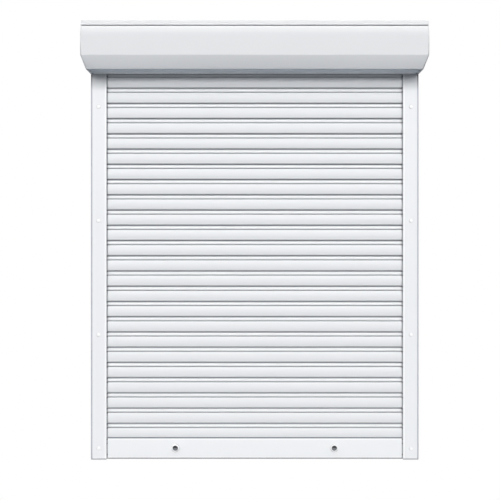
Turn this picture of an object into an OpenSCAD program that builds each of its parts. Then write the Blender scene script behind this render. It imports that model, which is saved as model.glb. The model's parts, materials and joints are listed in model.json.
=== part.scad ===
// Exterior roller shutter: box with roller and motor, slatted curtain, two guide rails.
// Millimetres. X runs along the roller, the wall is the plane y = 0, the front faces -Y and Z is up.
// The origin is the centre of the rails' outer four wall fixings, on the wall plane.

/* [Overall] */
// Width over the guide rails and the box
overall_w = 1116; // [760:1:1600]
// Number of slats hanging below the box
slat_count = 24; // [10:1:24]

/* [Box] */
// Height of the shutter box
box_h = 144.5; // [138:0.5:170]
// Depth of the shutter box from the wall
box_d = 142; // [140:1:170]
// Height of the sloped strip under the front
slope_h = 27.5; // [18:0.5:34]
// Depth of the sloped strip under the front
slope_d = 66; // [50:1:72]
// Sheet thickness of the box panels
sheet_t = 1.2; // [0.8:0.1:1.5]

/* [Guide rails] */
// Width of a rail's face
rail_w = 53; // [53:1:60]
// Depth of a rail from the wall
rail_d = 22; // [22:1:24]
// Wall thickness of the rail extrusion
rail_t = 1.8; // [1.5:0.1:2]
// Diameter of the wall fixing holes
fix_hole_d = 6.5; // [5:0.5:7]
// Diameter of the access holes in the rail's face
access_d = 13; // [11:0.5:14]

/* [Curtain] */
// Height that each slat adds to the curtain
slat_pitch = 52.1; // [51:0.1:54]
// Wall thickness of the slat extrusion
slat_t = 1.2; // [0.9:0.1:1.3]
// Height of the bottom bar above the sill, up to its front lip
bar_h = 73.8; // [70:0.1:78]

/* [Roller] */
// Roller tube, across its flats
tube_af = 40; // [40:1:46]
// Wall thickness of the roller tube
tube_t = 0.8; // [0.6:0.1:1]
// Number of hanger straps between the roller and the curtain
strap_count = 3; // [2:1:4]

/* [Hidden] */
$fn = 48;
half_w = overall_w / 2;
// Clearances: a close fit, a slip fit, and the play round a cast or moulded piece
fit = 0.05;
slip = 0.1;
play = 0.3;

// Slat section, along the wall normal: face, bead, hook web at the bottom of both grooves, flange, lip
slat_front = -16;
slat_back = -7;
face_foot_y = -13.8;
face_top_y = -13.6;
face_bulge = 2.3;
bead_y = -11.4;
bead_bulge = 2.2;
web_front = -9.8;
web_back = -8.6;
flange_front = -12.5;
flange_t = 1.4;
lip_back = -11.2;
lip_t = 1.5;
pocket_front = -12.8;
pocket_h = 9;
shoulder_r = 1.6;
// Slat section, up from the slat's own foot
face_foot_h = 1.4;
face_h = slat_pitch - 17.6;
bead_foot_h = slat_pitch - 14.4;
bead_top_h = slat_pitch - 3.2;

// Curtain: the first slat sits behind the bottom bar's lip, the top slat's hook is inside the box
bar_front = slat_front - play;
bar_back = -6.8;
bar_lip_t = 1.3;
bar_lip_set = 0.4;
first_slat_h = bar_h - 5;
bar_floor_h = first_slat_h - 2.2;
curtain_top_h = first_slat_h + slat_count * slat_pitch;
slat_inset = 38.5;
slat_half = half_w - slat_inset;
clip_t = 1.2;

// Rails: from the sill to the underside of the box, with four fixings each
rail_h = curtain_top_h - 7.7;
fix_rows = 4;
fix_first = 36.5;
fix_below_box = 111;
fix_pitch = (rail_h - fix_first - fix_below_box) / (fix_rows - 1);
fix_in = 26;
chamber_end = 34;
edge_r = 3.6;
lip_edge_r = 2.6;
lip_w = 6;
lip_d = 5;
bulb_r = 0.8;
bulb_in = 3;
bulb_deep = 3.6;
foot_t = 3;

// Heights in the frame: z = 0 is the middle of the fixings
sill_z = -(fix_first + fix_pitch * (fix_rows - 1) / 2);
box_z = sill_z + rail_h;
fix_z = [for (i = [0 : fix_rows - 1]) sill_z + fix_first + i * fix_pitch];

// Box: end plates, the seam below the rounded nose, and the gentle lean of the front
plate_t = 3;
inner_x = half_w - plate_t;
panel_half = inner_x - 0.2;
nose_r = 18;
nose_set = 4;
nose_hem = 8;
seam_h = box_h - 19.8;
front_top_h = box_h - 24.4;
front_bend_h = box_h - 57;
front_bend_r = 70;
front_lean = 9;
front_edge_r = 2.6;
slope_foot = -(box_d - slope_d);
slot_front = -21.5;
rim_l = 14;
rim_t = 2;
rivet_r = 1.6;
rivet_x = inner_x - rim_l / 2;
rivet_top_y = [-40, -95];
rivet_back_h = [35, 105];
screw_y = [-35, -62];

// Roller: its axis, and the stations along it from the motor side to the idle side
axis_y = -box_d / 2;
axis_h = box_h / 2 + 1;
axis_z = box_z + axis_h;
boss_ring = 40;
boss_r = 5;
boss_l = 8;
bracket_t = 3;
bracket_x = inner_x - boss_l - bracket_t;
bracket_screw_r = 2;
head_r = 22;
head_l = 15;
head_x = 0.5 - bracket_x;
motor_r = 17.5;
motor_l = 400;
motor_x = head_x + head_l;
motor_end_x = motor_x + motor_l;
lug = 10;
tube_x0 = motor_x + 2;
tube_x1 = bracket_x - 18;
plug_af = tube_af - 2 * tube_t - 2 * slip;
plug_hole_ring = 12.6;
plug_hole_r = 3.5;
shaft_r = 6;
crown_l = 20;
wheel_x0 = motor_end_x + 6;
wheel_l = 26;
capsule_l = 80;
bearing_r = 14;
bearing_w = 8;
bearing_x = bracket_x - bearing_w - 1;
ball_r = 2.4;
ball_count = 8;
ball_ring = (bearing_r + shaft_r) / 2;
land = 1.5;

// Straps, stops and the cable entry
strap_w = 28;
strap_t = 0.8;
strap_span = overall_w * 0.54;
strap_x = [for (i = [0 : strap_count - 1]) strap_span * (i / (strap_count - 1) - 0.5)];
strap_tab_h = axis_h + 4;
stop_x = overall_w * 0.2425;
stop_h = 38.3;
stop_r = 13.8;
stop_l = 9;
stop_floor = 2.5;
stop_hole_r = 9.2;
stop_screw_r = 2;
cable_x = 60 - half_w;
cable_z = box_z + box_h - 32;
cable_r = 3.5;

function slat_name(i) = str("slat_", i < 10 ? "0" : "", i);

// Plane geometry

function unit(v) = v / norm(v);
function left_of(v) = [-v[1], v[0]];
function mitre(a, b) = (a + b) / (1 + a * b);
function reversed(p) = [for (i = [len(p) - 1 : -1 : 0]) p[i]];
function arc(c, r, a0, a1, n) =
    [for (i = [0 : n]) let (a = a0 + (a1 - a0) * i / n) c + r * [cos(a), sin(a)]];

// Arc from a to b that bulges by s to the left of the way it runs
function bow(a, b, s, n) =
    let (h = norm(b - a) / 2,
         u = (b - a) / (2 * h),
         out = left_of(u),
         r = (h * h + s * s) / (2 * s),
         c = (a + b) / 2 - (r - s) * out,
         half = asin(h / r))
    [for (i = [0 : n]) let (t = half * (2 * i / n - 1)) c + r * (cos(t) * out + sin(t) * u)];

// Mitred normals of an open path, and the outline of a sheet of thickness t to the left of it
function path_normal(p, i) =
    i == 0 ? left_of(unit(p[1] - p[0]))
    : i == len(p) - 1 ? left_of(unit(p[i] - p[i - 1]))
    : mitre(left_of(unit(p[i] - p[i - 1])), left_of(unit(p[i + 1] - p[i])));
function sheet(p, t) =
    concat(p, reversed([for (i = [0 : len(p) - 1]) p[i] + t * path_normal(p, i)]));

// Closed clockwise outline, drawn in by d
function inset(p, d) =
    [for (i = [0 : len(p) - 1])
        let (before = p[(i + len(p) - 1) % len(p)], after = p[(i + 1) % len(p)])
        p[i] - d * mitre(left_of(unit(p[i] - before)), left_of(unit(after - p[i])))];

// Extrudes a [y, z] section along X
module along_x(x0, x1) {
    translate([x0, 0, 0]) rotate([90, 0, 90]) linear_extrude(x1 - x0) children();
}
// Round bar along Y
module along_y(x, z, y0, y1, r) {
    translate([x, y1, z]) rotate([90, 0, 0]) cylinder(h = y1 - y0, r = r);
}
// Round bar on the roller axis
module axle(x0, x1, r) {
    translate([x0, axis_y, axis_z]) rotate([0, 90, 0]) cylinder(h = x1 - x0, r = r);
}
// Eight-sided bar on the roller axis, with one flat towards the wall
module octagon_bar(x0, x1, af) {
    translate([x0, axis_y, axis_z]) rotate([22.5, 0, 0]) rotate([0, 90, 0])
        cylinder(h = x1 - x0, r = af / 2 / cos(22.5), $fn = 8);
}
// Copies round the roller axis, at radius r, with their own Z along +X
module round_axis(x, r, count, a0) {
    for (i = [0 : count - 1])
        translate([x, axis_y + r * cos(a0 + i * 360 / count), axis_z + r * sin(a0 + i * 360 / count)])
            rotate([0, 90, 0]) children();
}
module both_sides() {
    children();
    mirror([1, 0, 0]) children();
}

// Guide rails

// Section of the left rail from its outer side at x = 0: screw chamber, guide channel, grooved lips
module rail_section() {
    front = -rail_d;
    deep = rail_d - 2 * rail_t;
    channel = chamber_end + rail_t;
    groove = 0.7;
    difference() {
        polygon(concat(
            arc([edge_r, front + edge_r], edge_r, 180, 270, 8),
            arc([rail_w - lip_edge_r, front + lip_edge_r], lip_edge_r, 270, 360, 8),
            [[rail_w, 0], [0, 0]]));
        translate([rail_t, front + rail_t]) square([chamber_end - rail_t, deep]);
        translate([channel, front + rail_t]) square([rail_w - lip_w - channel, deep]);
        translate([rail_w - lip_w - 1, front + lip_d]) square([lip_w + 2, rail_d - 2 * lip_d]);
        for (y = [front + bulb_deep, -bulb_deep]) translate([rail_w - bulb_in, y]) {
            circle(bulb_r + slip);
            translate([0, -groove / 2]) square([bulb_in + 1, groove]);
        }
    }
}
module rail() {
    color("whitesmoke") difference() {
        translate([-half_w, 0, sill_z + foot_t]) linear_extrude(rail_h - foot_t) rail_section();
        for (z = fix_z) {
            along_y(fix_in - half_w, z, -rail_d / 2, 1, fix_hole_d / 2);
            along_y(fix_in - half_w, z, -rail_d - 1, -rail_d / 2, access_d / 2);
        }
    }
}
// Rubber wiper: a bulb in the lip's groove, a neck, and a fin that leans towards the slats
module seal_section() {
    neck = 0.5;
    fin_root = bulb_in + slip;
    fin_l = 3.2;
    fin_t = 0.8;
    fin_tip = 1.6;
    translate([rail_w - bulb_in, bulb_deep - rail_d]) {
        circle(bulb_r);
        translate([0, -neck / 2]) square([fin_root + slip, neck]);
        polygon([[fin_root, -fin_t], [fin_root + fin_t, -fin_t], [fin_root + fin_l, fin_tip - fin_t / 2],
                 [fin_root + fin_l - fin_t / 2, fin_tip], [fin_root, fin_t]]);
    }
}
module rail_seals() {
    color("dimgray") translate([-half_w, 0, sill_z + foot_t]) linear_extrude(rail_h - foot_t) {
        seal_section();
        translate([0, -rail_d]) mirror([0, 1]) seal_section();
    }
}
// Domed push-in plug over each access hole
module rail_screw_caps() {
    dome_h = 1.6;
    dome_r = 20;
    skirt_l = 4;
    skirt_r = access_d / 2 - slip;
    color("white") both_sides() for (z = fix_z)
        translate([fix_in - half_w, -rail_d, z]) rotate([90, 0, 0]) {
            intersection() {
                cylinder(h = dome_h, r = access_d / 2 + 1);
                translate([0, 0, dome_h - dome_r]) sphere(r = dome_r);
            }
            translate([0, 0, -skirt_l]) difference() {
                cylinder(h = skirt_l, r = skirt_r);
                translate([0, 0, -1]) cylinder(h = skirt_l, r = skirt_r - slat_t);
            }
        }
}
// Foot under each rail: a plate that stays clear of the curtain, and a plug in the screw chamber
module rail_foot_caps() {
    plug_h = 10;
    channel = chamber_end + rail_t;
    clear_y = lip_d + 0.5;
    color("gainsboro") both_sides() translate([-half_w, 0, sill_z]) {
        linear_extrude(foot_t) difference() {
            polygon(concat(
                arc([edge_r, edge_r - rail_d], edge_r, 180, 270, 8),
                [[rail_w, -rail_d], [rail_w, 0], [0, 0]]));
            translate([channel, clear_y - rail_d]) square([rail_w, rail_d - 2 * clear_y]);
        }
        translate([rail_t + slip, rail_t + slip - rail_d, foot_t])
            cube([chamber_end - rail_t - 2 * slip, rail_d - 2 * rail_t - 2 * slip, plug_h]);
    }
}
// Funnel over each rail: two cheeks that reach down into the channel, the front one flared to the roller
module rail_inlets() {
    cheek = 2.4;
    tongue = 12;
    front = rail_t + slip - rail_d;
    back = -rail_t - slip;
    flare_h = 32;
    flare_y = front - 10;
    end_x = slat_half + clip_t + 1;
    flare = reversed(bow([flare_y, flare_h], [front + cheek, 14], 3, 6));
    front_cheek = concat([[front, -tongue], [front + cheek, -tongue]], flare,
        [[flare_y - cheek, flare_h], [front - 3, 19], [front, 15]]);
    back_cheek = [[back, -tongue], [back, 24], [back - 1, 26], [back - cheek, 22], [back - cheek, -tongue]];
    color("lightgray") both_sides() translate([0, 0, box_z]) {
        along_x(slat_half - 7, end_x + slip) {
            polygon(front_cheek);
            polygon(back_cheek);
        }
        along_x(end_x, end_x + rail_t)
            polygon([[front, 0], [front, 22], [back - 1, 22], [back - 1, 0]]);
    }
}

// Shutter box

// Outline of the box from its lower rear corner, clockwise: slope, leaning front, seam, nose, top
front_bend = reversed(arc([front_bend_r - box_d, front_bend_h], front_bend_r, 180 - front_lean, 180, 4));
front_top_y = front_bend[4][0] + (front_top_h - front_bend[4][1]) * tan(front_lean);
front_curve = concat(front_bend, [[front_top_y, front_top_h]]);
nose_y = nose_set - box_d;
nose = arc([nose_y + nose_r, box_h - nose_r], nose_r, 90, 180, 10);
box_outline = concat(
    [[0, 0], [slope_foot, 0], [-box_d, slope_h]], front_curve,
    [[nose_y, seam_h]], reversed(nose), [[0, box_h]]);

module panel(path) {
    translate([0, 0, box_z]) along_x(-panel_half, panel_half) polygon(sheet(path, sheet_t));
}
module rivet_holes() {
    deep = 9;
    both_sides() translate([rivet_x, 0, box_z]) {
        for (y = rivet_top_y) translate([0, y, box_h - deep + 1]) cylinder(h = deep, r = rivet_r + slip);
        for (h = rivet_back_h) along_y(0, h, 1 - deep, 1, rivet_r + slip);
    }
}
module inspection_holes() {
    both_sides() for (y = screw_y)
        translate([rivet_x, y, box_z - 1]) cylinder(h = 9, r = rivet_r + slip);
}
// Back sheet with a flange that the top sheet laps over
module box_back_panel() {
    lap = 14;
    lap_h = box_h - sheet_t - slip;
    color("whitesmoke") difference() {
        panel([[0, 0], [0, lap_h], [-lap, lap_h]]);
        rivet_holes();
        along_y(cable_x, cable_z, -5, 1, cable_r + 2);
    }
}
// Top sheet with the rolled nose and a hem along the seam
module box_top_panel() {
    color("white") difference() {
        panel(concat([[0, box_h]], nose, [[nose_y, seam_h], [nose_y + nose_hem, seam_h]]));
        rivet_holes();
    }
}
// Front sheet: a hook behind the nose's hem, the leaning front, the slope and a folded edge
module box_front_panel() {
    hook_y = nose_y + nose_hem + 2;
    edge = [front_top_y, front_top_h] + front_edge_r * [cos(front_lean), -sin(front_lean)];
    color("whitesmoke") panel(concat(
        [[hook_y, edge[1] + front_edge_r + 6], [hook_y, edge[1] + front_edge_r]],
        arc(edge, front_edge_r, 90, 180 - front_lean, 5), reversed(front_bend),
        [[-box_d, slope_h], [slope_foot, 0], [slope_foot, 10]]));
}
// Removable underside between the slope and the curtain slot
module box_inspection_panel() {
    front = slope_foot + play;
    color("whitesmoke") difference() {
        panel([[front, 11], [front, 0], [slot_front, 0], [slot_front, 14]]);
        inspection_holes();
    }
}
module inspection_screws() {
    head_h = 1.6;
    slot_l = 4.4;
    slot_w = 0.8;
    color("silver") both_sides() for (y = screw_y) translate([rivet_x, y, box_z]) {
        translate([0, 0, -head_h]) difference() {
            cylinder(h = head_h, r = 2 * rivet_r);
            for (a = [0, 90]) rotate([0, 0, a]) cube([slot_l, slot_w, slot_w * 2], center = true);
        }
        cylinder(h = 8, r = rivet_r);
    }
}
// Blind rivets: domed on the top; on the back they are set from inside, so the wall plane stays flat
module panel_rivets() {
    dome_h = 1.3;
    dome_r = 5;
    head_h = 2;
    shank = 6;
    rim_back = sheet_t + play + rim_t;
    color("white") both_sides() translate([rivet_x, 0, box_z]) {
        for (y = rivet_top_y) translate([0, y, box_h]) {
            intersection() {
                cylinder(h = dome_h, r = 2 * rivet_r);
                translate([0, 0, dome_h - dome_r]) sphere(r = dome_r);
            }
            translate([0, 0, -shank]) cylinder(h = shank, r = rivet_r);
        }
        for (h = rivet_back_h) {
            along_y(0, h, -rim_back, 0, rivet_r);
            along_y(0, h, -rim_back - head_h, -rim_back, 2 * rivet_r);
        }
    }
}
// Opening in an end plate's rim for the panels' folded edges
module rim_gap(y, w, h, tall) {
    translate([inner_x - rim_l - 1, y, box_z + h]) cube([rim_l + 1, w, tall]);
}
// Hollow tongue of an end plate, down inside the rail's screw chamber
module end_cap_tongue() {
    long = 60;
    shell = 2.5;
    w = chamber_end - rail_t - 2 * play;
    d = rail_d - 2 * rail_t - 2 * play;
    translate([half_w - rail_t - play - w, -rail_t - play - d, box_z - long]) difference() {
        cube([w, d, long + rim_l]);
        translate([shell, shell, -1]) cube([w - 2 * shell, d - 2 * shell, long + rim_l - shell]);
    }
}
// Cast end plate: face, rim under the panels, bosses joined by ribs for the bracket, and the tongue
module end_cap() {
    rim_set = sheet_t + play;
    reach = boss_ring * cos(45);
    rib_t = 2;
    color("whitesmoke") difference() {
        union() {
            translate([0, 0, box_z]) along_x(inner_x, half_w) polygon(box_outline);
            difference() {
                translate([0, 0, box_z]) along_x(inner_x - rim_l, inner_x) difference() {
                    polygon(inset(box_outline, rim_set));
                    polygon(inset(box_outline, rim_set + rim_t));
                }
                rim_gap(-box_d, 22, seam_h - 7, 14);
                rim_gap(slope_foot - 4, 8, -1, 14);
                rim_gap(slot_front - 4, 6, -1, 16);
                rim_gap(-17, 20, box_h - 5, 6);
            }
            round_axis(inner_x - boss_l, boss_ring, 4, 45) cylinder(h = boss_l, r = boss_r);
            translate([inner_x - boss_l / 2, axis_y, axis_z]) rotate([0, 90, 0])
                linear_extrude(boss_l / 2) difference() {
                    square(2 * reach + rib_t, center = true);
                    square(2 * reach - rib_t, center = true);
                }
            end_cap_tongue();
        }
        round_axis(inner_x - boss_l - 1, boss_ring, 4, 45)
            cylinder(h = boss_l + 2, r = bracket_screw_r + slip);
        rivet_holes();
        inspection_holes();
    }
}
// Snap-in bushing for the motor's cable, flush with the wall plane
module cable_bushing() {
    flange_l = 1.8;
    barrel_l = 4;
    barrel_r = cable_r + 1.9;
    color("dimgray") difference() {
        union() {
            along_y(cable_x, cable_z, -sheet_t - barrel_l, 0, barrel_r);
            along_y(cable_x, cable_z, -sheet_t - flange_l, -sheet_t, cable_r + 4);
        }
        along_y(cable_x, cable_z, -sheet_t - barrel_l - 1, 1, cable_r);
    }
}

// Brackets at the two ends of the roller

// Plate on the four bosses, with rounded corners
module bracket_plate(x0) {
    reach = boss_ring * cos(45);
    corner_r = boss_r + 2;
    corners = [for (y = [-reach, reach], z = [-reach, reach]) [y, z]];
    translate([x0, axis_y, axis_z]) rotate([90, 0, 90]) linear_extrude(bracket_t) difference() {
        union() {
            square([2 * reach, 2 * (reach + corner_r)], center = true);
            square([2 * (reach + corner_r), 2 * reach], center = true);
            for (c = corners) translate(c) circle(corner_r);
        }
        for (c = corners) translate(c) circle(bracket_screw_r + 2 * slip);
    }
}
module motor_bracket() {
    hole = lug + 4 * slip;
    color("silver") difference() {
        bracket_plate(-bracket_x - bracket_t);
        translate([-bracket_x, axis_y, axis_z]) cube([4 * bracket_t, hole, hole], center = true);
    }
}
// Idle-side plate with the seat for the bearing's outer ring
module bearing_holder() {
    seat_wall = 4;
    color("silver") difference() {
        union() {
            bracket_plate(bracket_x);
            axle(bearing_x, bracket_x, bearing_r + seat_wall);
        }
        axle(bearing_x - 1, bearing_x + bearing_w, bearing_r + 0.02);
        axle(bearing_x, bracket_x + bracket_t + 1, ball_ring);
    }
}
module bracket_screws() {
    head_h = 2.4;
    socket_r = 1.7;
    color("dimgray") both_sides() round_axis(bracket_x, boss_ring, 4, 45) {
        translate([0, 0, -head_h]) difference() {
            cylinder(h = head_h, r = 2 * bracket_screw_r);
            translate([0, 0, -1]) cylinder(h = head_h, r = socket_r, $fn = 6);
        }
        cylinder(h = bracket_t + boss_l, r = bracket_screw_r);
    }
}

// Drive side of the roller

// Sealed motor: head with two end-limit adjusters and the square lug, long body with a nose bore
module tubular_motor() {
    color("lightgray") difference() {
        union() {
            axle(motor_x, motor_end_x, motor_r);
            axle(head_x, motor_x, head_r);
            translate([head_x, axis_y, axis_z]) cube([2 * bracket_t, lug, lug], center = true);
        }
        axle(motor_end_x - 10, motor_end_x + 1, shaft_r + play);
        round_axis(head_x - 1, lug * 1.2, 2, 90) cylinder(h = lug * 0.7, r = lug / 4);
    }
}
// Ring that turns on the motor with the tube and counts its turns for the end limits
module limit_crown() {
    flange_l = 1.2;
    color("darkslategray") difference() {
        union() {
            octagon_bar(tube_x0, tube_x0 + crown_l, plug_af);
            axle(tube_x0 - flange_l, tube_x0, tube_af / 2 + 1.5);
        }
        axle(tube_x0 - 2 * flange_l, tube_x0 + crown_l + 1, motor_r + play);
    }
}
module motor_shaft() {
    color("silver") axle(motor_end_x - 8, wheel_x0 + wheel_l + 2, shaft_r);
}
// Eight-sided adapter, lightened between its spokes, that turns the tube
module drive_wheel() {
    web = 6;
    color("darkslategray") difference() {
        octagon_bar(wheel_x0, wheel_x0 + wheel_l, plug_af);
        axle(wheel_x0 - 1, wheel_x0 + wheel_l + 1, shaft_r + fit);
        round_axis(wheel_x0 + web, plug_hole_ring, 8, 0) cylinder(h = wheel_l, r = plug_hole_r);
    }
}
module roller_tube() {
    slot_play = 2 * play;
    color("silver") difference() {
        octagon_bar(tube_x0, tube_x1, tube_af);
        octagon_bar(tube_x0 - 1, tube_x1 + 1, tube_af - 2 * tube_t);
        for (x = strap_x)
            translate([x, axis_y + tube_af / 2, box_z + strap_tab_h + strap_t / 2])
                cube([strap_w + 2 * slot_play, 4 * tube_t, strap_t + 2 * slot_play], center = true);
    }
}

// Idle side of the roller

module idler_capsule() {
    flange_l = 3;
    color("darkslategray") difference() {
        union() {
            octagon_bar(tube_x1 - capsule_l, tube_x1, plug_af);
            axle(tube_x1, tube_x1 + flange_l, tube_af / 2 + 4);
        }
        axle(tube_x1 - capsule_l - 1, tube_x1 + flange_l + 1, shaft_r + fit);
        round_axis(tube_x1 - capsule_l - 1, plug_hole_ring, 8, 0)
            cylinder(h = capsule_l * 0.9, r = plug_hole_r);
    }
}
module idler_pin() {
    color("silver") axle(tube_x1 - capsule_l * 0.85, bracket_x + bracket_t, shaft_r);
}
// Half of a ball race: a ring from r0 to r1 with the groove for the balls
module race(r0, r1) {
    color("silver") translate([bearing_x, axis_y, axis_z]) rotate([0, 90, 0]) rotate_extrude() difference() {
        translate([r0, 0]) square([r1 - r0, bearing_w]);
        translate([ball_ring, bearing_w / 2]) circle(ball_r + slip);
    }
}
module bearing_outer_ring() {
    race(ball_ring + land, bearing_r);
}
module bearing_inner_ring() {
    race(shaft_r + fit, ball_ring - land);
}
module bearing_balls() {
    color("silver") round_axis(bearing_x + bearing_w / 2, ball_ring, ball_count, 0) sphere(r = ball_r);
}
// Spring-steel straps: a tab in the tube's slot, an easy S down to the curtain, a hook under its top slat
module hanger_straps() {
    flat_y = axis_y + tube_af / 2;
    leave_h = axis_h - 8;
    hook_y = flange_front - 2;
    straight_h = 20;
    hook_h = curtain_top_h - rail_h + lip_t - strap_t;
    bend = [for (i = [0 : 14]) let (t = i / 14, s = t * t * (3 - 2 * t))
        [flat_y + (hook_y - flat_y) * s, leave_h + (straight_h - leave_h) * t]];
    tab = tube_t + 1;
    path = concat([[flat_y - tab, strap_tab_h], [flat_y, strap_tab_h]], bend,
        [[hook_y, hook_h], [lip_back, hook_h]]);
    color("lightsteelblue") translate([0, 0, box_z]) for (x = strap_x)
        along_x(x - strap_w / 2, x + strap_w / 2) polygon(sheet(path, strap_t));
}

// Curtain

face = bow([face_foot_y, face_foot_h], [face_top_y, face_h], face_bulge, 14);
bead = bow([bead_y, bead_foot_h], [bead_y, bead_top_h], bead_bulge, 8);
// Hook that hangs in the pocket above, from the bead's top round to the back of its web
function hook(h) =
    [[web_front, h], [flange_front, h], [flange_front, h + flange_t], [web_back, h + flange_t]];

// Extruded slat: pocket with its lip, hollow bowed body, groove, hollow bead and the hook on top
module slat_section() {
    inner_back = slat_back - slat_t;
    floor_h = pocket_h + slat_t;
    ceiling_h = face_h - slat_t / 2;
    chamber_y = pocket_front - slat_t / 4;
    bead_back = web_front - slip;
    difference() {
        polygon(concat(
            [[lip_back, 0], [flange_front, 0], [face_foot_y + 0.6, 0.4]], face,
            arc([face_top_y + shoulder_r, face_h], shoulder_r, 180, 90, 5),
            [[web_front, face_h + shoulder_r], [web_front, bead_foot_h]], bead,
            [[web_front, bead_top_h]], hook(slat_pitch + lip_t),
            [[web_back, bead_foot_h], [slat_back, face_h + shoulder_r], [slat_back, 0],
             [inner_back, 0], [inner_back, pocket_h], [pocket_front, pocket_h],
             [pocket_front, lip_t], [lip_back, lip_t]]));
        polygon(concat(
            bow([chamber_y, floor_h], [chamber_y, ceiling_h], face_bulge - slat_t / 2, 8),
            [[inner_back, ceiling_h], [inner_back, floor_h]]));
        polygon(concat(
            [[bead_back, bead_foot_h + slat_t]],
            bow([bead_y, bead_foot_h + slat_t], [bead_y, bead_top_h - slat_t], bead_bulge - slat_t, 6),
            [[bead_back, bead_top_h - slat_t]]));
    }
}
function slat_z(i) = sill_z + first_slat_h + (i - 1) * slat_pitch;
module slat(i) {
    color("whitesmoke") translate([0, 0, slat_z(i)]) along_x(-slat_half, slat_half) slat_section();
}
// Nylon clip in both ends of every second slat, which keeps the slats from wandering sideways
module slat_end_clips() {
    tongue_l = 12;
    tongue_h = pocket_h + slat_t + slip;
    tongue_d = slat_back - slat_t - slip - pocket_front;
    plate_h = 4;
    plate_front = slat_front + 0.5;
    color("lightgray") both_sides() for (i = [2 : 2 : slat_count]) translate([0, 0, slat_z(i)]) {
        along_x(slat_half, slat_half + clip_t)
            polygon([[slat_back, plate_h], [slat_back, face_h], [face_top_y, face_h],
                     [plate_front, face_h * 0.7], [plate_front, face_h * 0.3], [face_foot_y, plate_h]]);
        along_x(slat_half - tongue_l, slat_half)
            translate([pocket_front, tongue_h]) square([tongue_d, face_h - slat_t - tongue_h]);
    }
}
// Bottom bar: foot groove for the seal, three chambers, stepped front lip and the hook for the first slat
bar_ribs = [13.4, 31, 50, bar_floor_h - slat_t];
seal_slot_y = [-12.7, -10.3];
seal_pocket_y = [-14.8, -8.2];
bar_foot_h = 3;
seal_shelf_h = 5;
module bottom_bar_section() {
    foot_r = 1.5;
    lip_foot_h = bar_h - 7.2;
    lip_step = 1.5;
    crown_r = (bar_lip_t - bar_lip_set) / 2;
    difference() {
        polygon(concat(
            arc([bar_front + foot_r, bar_foot_h + foot_r], foot_r, 270, 180, 5),
            [[bar_front, lip_foot_h], [bar_front + bar_lip_set, lip_foot_h + lip_step]],
            arc([bar_front + bar_lip_t - crown_r, bar_h - crown_r], crown_r, 180, 0, 6),
            [[bar_front + bar_lip_t, bar_floor_h], [web_front, bar_floor_h]], hook(first_slat_h + lip_t),
            [[web_back, bar_floor_h], [bar_back - 1, bar_floor_h], [bar_back, bar_floor_h - 1],
             [bar_back, bar_foot_h]]));
        for (i = [0 : len(bar_ribs) - 2])
            translate([bar_front + slat_t, bar_ribs[i] + slat_t])
                square([bar_back - bar_front - 2 * slat_t, bar_ribs[i + 1] - bar_ribs[i] - slat_t]);
        translate([seal_pocket_y[0], seal_shelf_h])
            square([seal_pocket_y[1] - seal_pocket_y[0], bar_ribs[0] - seal_shelf_h]);
        translate([seal_slot_y[0], bar_foot_h - 1])
            square([seal_slot_y[1] - seal_slot_y[0], seal_shelf_h - bar_foot_h + 2]);
    }
}
module bottom_bar() {
    color("whitesmoke") difference() {
        translate([0, 0, sill_z]) along_x(-slat_half, slat_half) bottom_bar_section();
        for (x = [-stop_x, stop_x])
            along_y(x, sill_z + stop_h, bar_front - 1, bar_front + 2 * slat_t, stop_screw_r + slip);
    }
}
// Rubber foot: a head on the groove's shelf, a neck, and the hollow bulb between the bar and the sill
module bottom_seal() {
    head_h = 3;
    foot_y = [-15, -8];
    foot_r = 1;
    wall = 1.4;
    color("dimgray") translate([0, 0, sill_z]) along_x(-slat_half + 1, slat_half - 1) difference() {
        union() {
            translate([seal_pocket_y[0] + 2 * slip, seal_shelf_h])
                square([seal_pocket_y[1] - seal_pocket_y[0] - 4 * slip, head_h]);
            translate([seal_slot_y[0] + 2 * slip, bar_foot_h - slip])
                square([seal_slot_y[1] - seal_slot_y[0] - 4 * slip, seal_shelf_h - bar_foot_h + 2 * slip]);
            polygon(concat(
                [[foot_y[0], bar_foot_h]], arc([foot_y[0] + foot_r, foot_r], foot_r, 180, 270, 4),
                arc([foot_y[1] - foot_r, foot_r], foot_r, 270, 360, 4), [[foot_y[1], bar_foot_h]]));
        }
        translate([foot_y[0] + wall, foot_r])
            square([foot_y[1] - foot_y[0] - 2 * wall, bar_foot_h - 2 * foot_r]);
    }
}
// Cover on each end of the bottom bar, with a tongue in its middle chamber
module bottom_bar_end_caps() {
    tongue_l = 14;
    cover_h = [bar_foot_h + 1, bar_h - 8];
    cover_y = [bar_front + 0.4, bar_back - 0.4];
    tongue_y = bar_front + slat_t + slip;
    tongue_h = bar_ribs[1] + slat_t + slip;
    color("lightgray") both_sides() translate([0, 0, sill_z]) {
        along_x(slat_half, slat_half + clip_t)
            translate([cover_y[0], cover_h[0]]) square([cover_y[1] - cover_y[0], cover_h[1] - cover_h[0]]);
        along_x(slat_half - tongue_l, slat_half)
            translate([tongue_y, tongue_h])
                square([bar_back - slat_t - slip - tongue_y, bar_ribs[2] - slip - tongue_h]);
    }
}
// Nylon buffer with a deep counterbore: it meets the underside of the box when the curtain is up
module end_stops() {
    round_r = 2.5;
    taper = 0.6;
    rim_c = [stop_r - taper - round_r, stop_l - round_r];
    color("white") for (x = [-stop_x, stop_x])
        translate([x, bar_front, sill_z + stop_h]) rotate([90, 0, 0]) rotate_extrude()
            polygon(concat(
                [[stop_screw_r + slip, 0], [stop_r, 0]], arc(rim_c, round_r, 0, 90, 6),
                [[stop_hole_r, stop_l], [stop_hole_r, stop_floor], [stop_screw_r + slip, stop_floor]]));
}
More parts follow.
